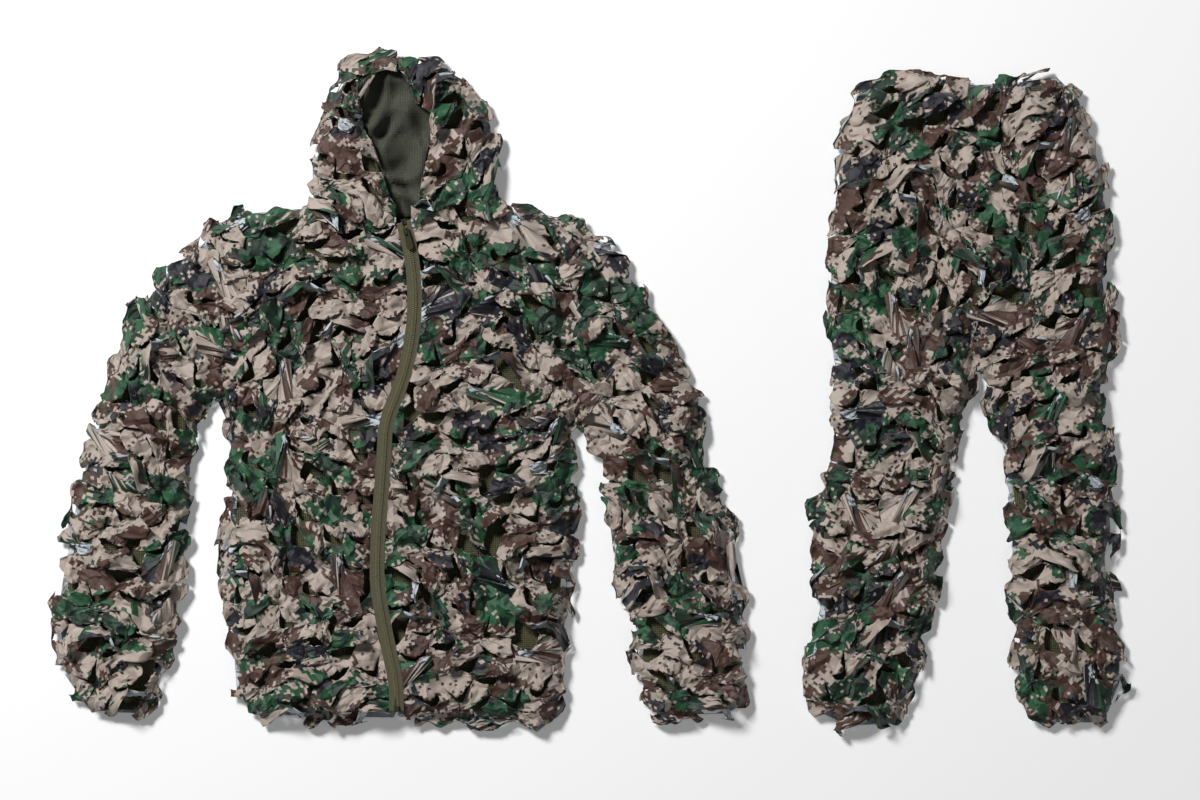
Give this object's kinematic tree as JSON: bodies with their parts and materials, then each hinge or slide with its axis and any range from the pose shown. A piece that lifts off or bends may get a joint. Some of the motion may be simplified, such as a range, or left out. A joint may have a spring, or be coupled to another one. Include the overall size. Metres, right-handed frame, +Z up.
{
  "type": "ghillie suit",
  "caption": "Leaf-cut camouflage suit laid flat: hooded jacket with a full front zip beside elastic-waist trousers, printed leaves over an open net.",
  "frame": {"origin": "middle of the laid-out set, on the surface that it lies on", "axes": "+X from the jacket to the trousers, +Y towards the hood and the waist, +Z up off the surface"},
  "size_m": [1.7176, 1.091, 0.052],
  "materials": {
    "leaf_cloth": "satin printed polyester, woodland pixel pattern, pale grey underside",
    "net": "knitted net, dark olive",
    "elastic": "woven elastic",
    "binding": "woven seam tape",
    "zip_tape": "woven tape, olive",
    "zip_teeth": "moulded teeth, pale olive",
    "zip_metal": "painted die casting, olive"
  },
  "bodies": {
    "jacket": {"jacket_back_leaves": "leaf_cloth", "jacket_back_net": "net", "jacket_front_left_leaves": "leaf_cloth", "jacket_front_left_net": "net", "jacket_front_right_leaves": "leaf_cloth", "jacket_front_right_net": "net", "neck_seam_tape": "binding", "hem_facing": "binding", "zip_tape_left": "zip_tape", "zip_teeth_left": "zip_teeth", "zip_top_stop_left": "zip_teeth", "zip_tape_right": "zip_tape", "zip_teeth_right": "zip_teeth", "zip_top_stop_right": "zip_teeth", "zip_retainer_box": "zip_teeth", "zip_insert_pin": "zip_teeth"},
    "zip_slider": {"zip_slider_body": "zip_metal"},
    "zip_pull": {"zip_pull_tab": "zip_metal"},
    "hood": {"hood_back_leaves": "leaf_cloth", "hood_back_net": "net", "hood_left_leaves": "leaf_cloth", "hood_left_net": "net", "hood_right_leaves": "leaf_cloth", "hood_right_net": "net", "hood_face_elastic": "elastic"},
    "left_sleeve": {"left_sleeve_back_leaves": "leaf_cloth", "left_sleeve_back_net": "net", "left_sleeve_front_leaves": "leaf_cloth", "left_sleeve_front_net": "net", "left_sleeve_cuff_elastic": "elastic"},
    "right_sleeve": {"right_sleeve_back_leaves": "leaf_cloth", "right_sleeve_back_net": "net", "right_sleeve_front_leaves": "leaf_cloth", "right_sleeve_front_net": "net", "right_sleeve_cuff_elastic": "elastic"},
    "trousers": {"trousers_left_back_leaves": "leaf_cloth", "trousers_left_back_net": "net", "trousers_left_front_leaves": "leaf_cloth", "trousers_left_front_net": "net", "trousers_right_back_leaves": "leaf_cloth", "trousers_right_back_net": "net", "trousers_right_front_leaves": "leaf_cloth", "trousers_right_front_net": "net", "front_rise_seam_tape": "binding", "back_rise_seam_tape": "binding", "waist_elastic": "elastic", "waistband_facing": "binding"},
    "left_lower_leg": {"left_lower_leg_back_leaves": "leaf_cloth", "left_lower_leg_back_net": "net", "left_lower_leg_front_leaves": "leaf_cloth", "left_lower_leg_front_net": "net", "left_lower_leg_ankle_elastic": "elastic"},
    "right_lower_leg": {"right_lower_leg_back_leaves": "leaf_cloth", "right_lower_leg_back_net": "net", "right_lower_leg_front_leaves": "leaf_cloth", "right_lower_leg_front_net": "net", "right_lower_leg_ankle_elastic": "elastic"}
  },
  "joints": [
    {"name": "zip_slider_travel", "type": "hinge", "parent": "jacket", "child": "zip_slider", "pos_m": [-0.7118, 0.1535, 0.038], "axis": [0, 0, -1], "range_deg": [0, 36.5]},
    {"name": "zip_pull_swing", "type": "hinge", "parent": "zip_slider", "child": "zip_pull", "pos_m": [-0.2955, 0.26116, 0.041], "axis": [-0.9681, -0.2504, 0], "range_deg": [0, 150]},
    {"name": "hood_fold", "type": "hinge", "parent": "jacket", "child": "hood", "pos_m": [-0.3, 0.3008, 0.054], "axis": [1, 0, 0], "range_deg": [0, 155]},
    {"name": "left_sleeve_fold", "type": "hinge", "parent": "jacket", "child": "left_sleeve", "pos_m": [-0.5801, 0.1, 0.045], "axis": [0, 1, 0], "range_deg": [0, 172]},
    {"name": "right_sleeve_fold", "type": "hinge", "parent": "jacket", "child": "right_sleeve", "pos_m": [-0.0175, 0.1, 0.045], "axis": [0, -1, 0], "range_deg": [0, 172]},
    {"name": "trousers_lift", "type": "slide", "parent": "jacket", "child": "trousers", "axis": [0, 0, 1], "range_m": [0, 0.3]},
    {"name": "left_knee_fold", "type": "hinge", "parent": "trousers", "child": "left_lower_leg", "pos_m": [0.47, -0.138, 0.045], "axis": [-1, 0, 0], "range_deg": [0, 170]},
    {"name": "right_knee_fold", "type": "hinge", "parent": "trousers", "child": "right_lower_leg", "pos_m": [0.75, -0.138, 0.045], "axis": [-1, 0, 0], "range_deg": [0, 170]}
  ]
}
